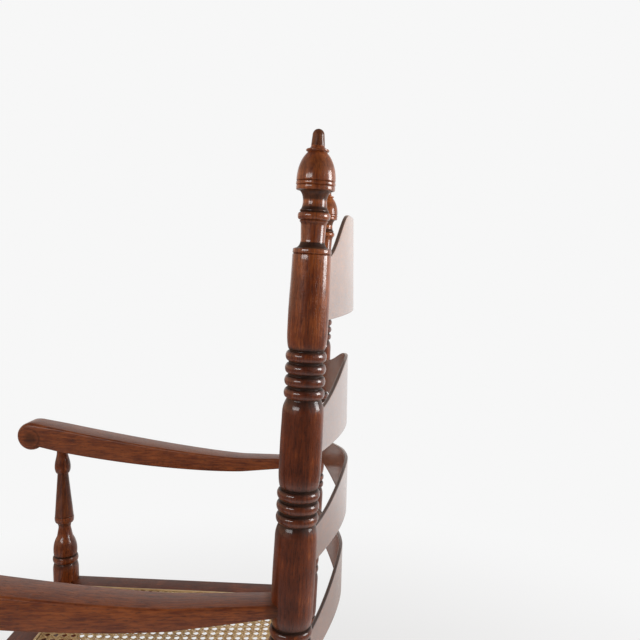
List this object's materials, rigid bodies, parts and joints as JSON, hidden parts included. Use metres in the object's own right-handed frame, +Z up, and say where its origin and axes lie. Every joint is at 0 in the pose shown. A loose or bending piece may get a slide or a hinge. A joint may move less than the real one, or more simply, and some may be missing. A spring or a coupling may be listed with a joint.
{
  "type": "ladder-back armchair",
  "caption": "Ladder-back armchair of turned wood with acorn finials, bowed slats, scroll-ended arms on turned supports and a caned seat.",
  "frame": {"origin": "on the floor, under the middle of the chair's bounding box", "axes": "+Z up, -Y towards the front of the seat, +X to the sitter's left"},
  "size_m": [0.59, 0.5592, 1.1065],
  "materials": {
    "turned_posts": "reddish brown stain under glossy varnish",
    "slats": "reddish brown stain under glossy varnish",
    "arms": "reddish brown stain under glossy varnish",
    "seat_rails": "reddish brown stain under glossy varnish",
    "stretchers": "reddish brown stain under glossy varnish",
    "cane": "natural cane, satin",
    "splines": "natural reed, satin"
  },
  "bodies": {
    "root": {"left_rear_post": "turned_posts", "right_rear_post": "turned_posts", "left_front_post": "turned_posts", "right_front_post": "turned_posts", "crest_slat": "slats", "upper_slat": "slats", "middle_slat": "slats", "lower_slat": "slats", "left_arm": "arms", "right_arm": "arms", "front_seat_rail": "seat_rails", "rear_seat_rail": "seat_rails", "left_seat_rail": "seat_rails", "right_seat_rail": "seat_rails", "cane_panel": "cane", "front_cane_spline": "splines", "rear_cane_spline": "splines", "left_cane_spline": "splines", "right_cane_spline": "splines", "upper_front_stretcher": "stretchers", "lower_front_stretcher": "stretchers", "left_upper_stretcher": "stretchers", "left_lower_stretcher": "stretchers", "right_upper_stretcher": "stretchers", "right_lower_stretcher": "stretchers", "rear_stretcher": "stretchers"}
  },
  "joints": []
}
